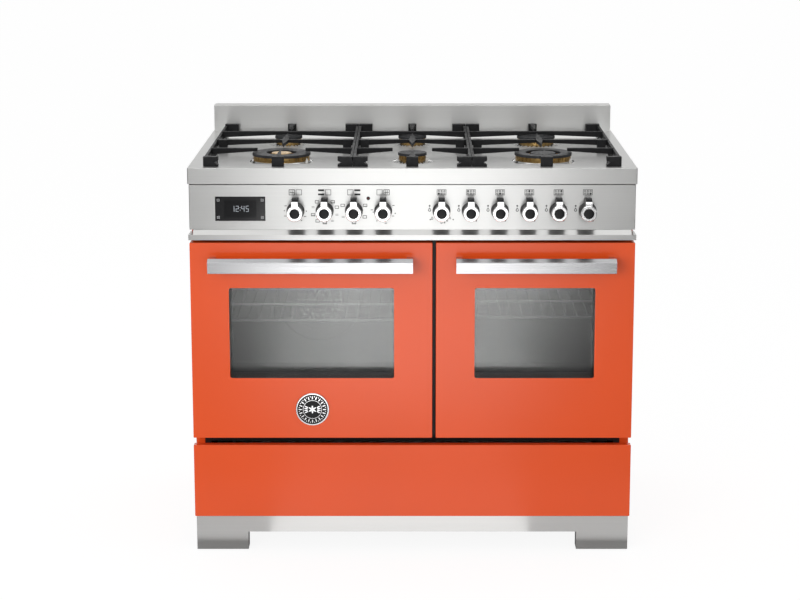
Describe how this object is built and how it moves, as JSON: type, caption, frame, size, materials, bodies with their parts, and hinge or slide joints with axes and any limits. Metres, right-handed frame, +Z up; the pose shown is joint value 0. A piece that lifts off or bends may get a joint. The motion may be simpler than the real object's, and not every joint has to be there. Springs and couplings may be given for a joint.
{
  "type": "freestanding gas range",
  "caption": "Wide freestanding range with gas burners and cast grates on a steel hob, two drop-door ovens, a storage drawer and a row of knobs.",
  "frame": {"origin": "on the floor, in the middle of the width and of the overall depth", "axes": "+Z up, the doors and knobs face -Y, +X to the right as seen from the front"},
  "size_m": [1, 0.688, 0.958],
  "materials": {
    "stainless": "brushed",
    "orange_enamel": "gloss",
    "black_enamel": "satin",
    "oven_enamel": "gloss",
    "galvanised": "matt",
    "tinted_glass": "polished",
    "display_glass": "gloss",
    "red_lens": "gloss",
    "chrome_bar": "polished",
    "knob_metal": "polished",
    "badge_chrome": "polished",
    "cast_iron": "matt enamel",
    "burner_brass": "satin",
    "burner_cap": "matt enamel",
    "rack_wire": "polished",
    "tap_brass": "satin",
    "zinc_steel": "satin",
    "fan_aluminium": "satin",
    "motor_black": "matt",
    "switch_plastic": "matt",
    "seal_rubber": "matt",
    "heater_steel": "oxidised",
    "foot_steel": "zinc plated"
  },
  "bodies": {
    "chassis": {"side_panel_left": "orange_enamel", "side_panel_right": "orange_enamel", "rear_panel": "galvanised", "base_plate": "galvanised", "front_frame": "black_enamel", "oven_liner_left": "oven_enamel", "oven_liner_right": "oven_enamel", "fan_cover": "oven_enamel", "fan_motor": "motor_black", "heating_elements": "heater_steel", "door_seals": "seal_rubber", "control_panel": "stainless", "display_module": "display_glass", "indicator_lamp": "red_lens", "lower_trim": "stainless", "cooktop": "stainless", "backguard": "stainless", "burner_crowns": "burner_brass", "burner_caps": "burner_cap", "gas_taps": "tap_brass", "oven_switches": "switch_plastic", "plinth": "stainless", "drawer_rails": "zinc_steel", "leveling_feet": "foot_steel", "terminal_box": "switch_plastic"},
    "door_left": {"door_left_skin": "orange_enamel", "door_left_glass": "tinted_glass", "door_left_inner": "black_enamel", "door_left_handle": "chrome_bar", "door_left_hinges": "zinc_steel", "badge": "badge_chrome"},
    "door_right": {"door_right_skin": "orange_enamel", "door_right_glass": "tinted_glass", "door_right_inner": "black_enamel", "door_right_handle": "chrome_bar", "door_right_hinges": "zinc_steel"},
    "drawer": {"drawer_front": "orange_enamel", "drawer_tray": "galvanised"},
    "fan": {"convection_fan": "fan_aluminium"},
    "grate_left": {"grate_left": "cast_iron"},
    "grate_middle": {"grate_middle": "cast_iron"},
    "grate_right": {"grate_right": "cast_iron"},
    "rack_left": {"rack_left": "rack_wire"},
    "rack_right": {"rack_right": "rack_wire"},
    "knob_thermostat_left": {"knob_thermostat_left": "knob_metal"},
    "knob_function_left": {"knob_function_left": "knob_metal"},
    "knob_function_right": {"knob_function_right": "knob_metal"},
    "knob_thermostat_right": {"knob_thermostat_right": "knob_metal"},
    "knob_burner_1": {"knob_burner_1": "knob_metal"},
    "spindle_1": {"spindle_1": "zinc_steel"},
    "knob_burner_2": {"knob_burner_2": "knob_metal"},
    "spindle_2": {"spindle_2": "zinc_steel"},
    "knob_burner_3": {"knob_burner_3": "knob_metal"},
    "spindle_3": {"spindle_3": "zinc_steel"},
    "knob_burner_4": {"knob_burner_4": "knob_metal"},
    "spindle_4": {"spindle_4": "zinc_steel"},
    "knob_burner_5": {"knob_burner_5": "knob_metal"},
    "spindle_5": {"spindle_5": "zinc_steel"},
    "knob_burner_6": {"knob_burner_6": "knob_metal"},
    "spindle_6": {"spindle_6": "zinc_steel"}
  },
  "joints": [
    {"name": "door_left_hinge", "type": "hinge", "parent": "chassis", "child": "door_left", "pos_m": [0, -0.276, 0.286], "axis": [1, 0, 0], "range_deg": [0, 90], "stiffness_Nm_per_rad": 6, "springref_deg": -20.05},
    {"name": "door_right_hinge", "type": "hinge", "parent": "chassis", "child": "door_right", "pos_m": [0, -0.276, 0.286], "axis": [1, 0, 0], "range_deg": [0, 90], "stiffness_Nm_per_rad": 6, "springref_deg": -20.05},
    {"name": "drawer_slide", "type": "slide", "parent": "chassis", "child": "drawer", "axis": [0, -1, 0], "range_m": [0, 0.345]},
    {"name": "fan_spin", "type": "hinge", "parent": "chassis", "child": "fan", "pos_m": [-0.226, 0.14, 0.5], "axis": [0, 1, 0], "continuous": true},
    {"name": "grate_left_lift", "type": "slide", "parent": "chassis", "child": "grate_left", "axis": [0, 0, 1], "range_m": [0, 0.15]},
    {"name": "grate_middle_lift", "type": "slide", "parent": "chassis", "child": "grate_middle", "axis": [0, 0, 1], "range_m": [0, 0.15]},
    {"name": "grate_right_lift", "type": "slide", "parent": "chassis", "child": "grate_right", "axis": [0, 0, 1], "range_m": [0, 0.15]},
    {"name": "knob_thermostat_left_turn", "type": "hinge", "parent": "chassis", "child": "knob_thermostat_left", "pos_m": [-0.26, -0.3, 0.794], "axis": [0, 1, 0], "range_deg": [0, 285]},
    {"name": "knob_function_left_turn", "type": "hinge", "parent": "chassis", "child": "knob_function_left", "pos_m": [-0.195, -0.3, 0.794], "axis": [0, 1, 0], "range_deg": [0, 330]},
    {"name": "knob_function_right_turn", "type": "hinge", "parent": "chassis", "child": "knob_function_right", "pos_m": [-0.13, -0.3, 0.794], "axis": [0, 1, 0], "range_deg": [0, 240]},
    {"name": "knob_thermostat_right_turn", "type": "hinge", "parent": "chassis", "child": "knob_thermostat_right", "pos_m": [-0.065, -0.3, 0.794], "axis": [0, 1, 0], "range_deg": [0, 285]},
    {"name": "knob_burner_1_turn", "type": "hinge", "parent": "spindle_1", "child": "knob_burner_1", "pos_m": [0.065, -0.3, 0.794], "axis": [0, -1, 0], "range_deg": [0, 270]},
    {"name": "knob_burner_2_turn", "type": "hinge", "parent": "spindle_2", "child": "knob_burner_2", "pos_m": [0.13, -0.3, 0.794], "axis": [0, -1, 0], "range_deg": [0, 270]},
    {"name": "knob_burner_3_turn", "type": "hinge", "parent": "spindle_3", "child": "knob_burner_3", "pos_m": [0.195, -0.3, 0.794], "axis": [0, -1, 0], "range_deg": [0, 270]},
    {"name": "knob_burner_4_turn", "type": "hinge", "parent": "spindle_4", "child": "knob_burner_4", "pos_m": [0.26, -0.3, 0.794], "axis": [0, -1, 0], "range_deg": [0, 270]},
    {"name": "knob_burner_5_turn", "type": "hinge", "parent": "spindle_5", "child": "knob_burner_5", "pos_m": [0.325, -0.3, 0.794], "axis": [0, -1, 0], "range_deg": [0, 270]},
    {"name": "knob_burner_6_turn", "type": "hinge", "parent": "spindle_6", "child": "knob_burner_6", "pos_m": [0.39, -0.3, 0.794], "axis": [0, -1, 0], "range_deg": [0, 270]},
    {"name": "rack_left_slide", "type": "slide", "parent": "chassis", "child": "rack_left", "axis": [0, -1, 0], "range_m": [0, 0.01]},
    {"name": "rack_right_slide", "type": "slide", "parent": "chassis", "child": "rack_right", "axis": [0, -1, 0], "range_m": [0, 0.01]},
    {"name": "tap_1_push", "type": "slide", "parent": "chassis", "child": "spindle_1", "axis": [0, 1, 0], "range_m": [0, 0.003], "stiffness_N_per_m": 1500, "springref_m": -0.003},
    {"name": "tap_2_push", "type": "slide", "parent": "chassis", "child": "spindle_2", "axis": [0, 1, 0], "range_m": [0, 0.003], "stiffness_N_per_m": 1500, "springref_m": -0.003},
    {"name": "tap_3_push", "type": "slide", "parent": "chassis", "child": "spindle_3", "axis": [0, 1, 0], "range_m": [0, 0.003], "stiffness_N_per_m": 1500, "springref_m": -0.003},
    {"name": "tap_4_push", "type": "slide", "parent": "chassis", "child": "spindle_4", "axis": [0, 1, 0], "range_m": [0, 0.003], "stiffness_N_per_m": 1500, "springref_m": -0.003},
    {"name": "tap_5_push", "type": "slide", "parent": "chassis", "child": "spindle_5", "axis": [0, 1, 0], "range_m": [0, 0.003], "stiffness_N_per_m": 1500, "springref_m": -0.003},
    {"name": "tap_6_push", "type": "slide", "parent": "chassis", "child": "spindle_6", "axis": [0, 1, 0], "range_m": [0, 0.003], "stiffness_N_per_m": 1500, "springref_m": -0.003}
  ]
}
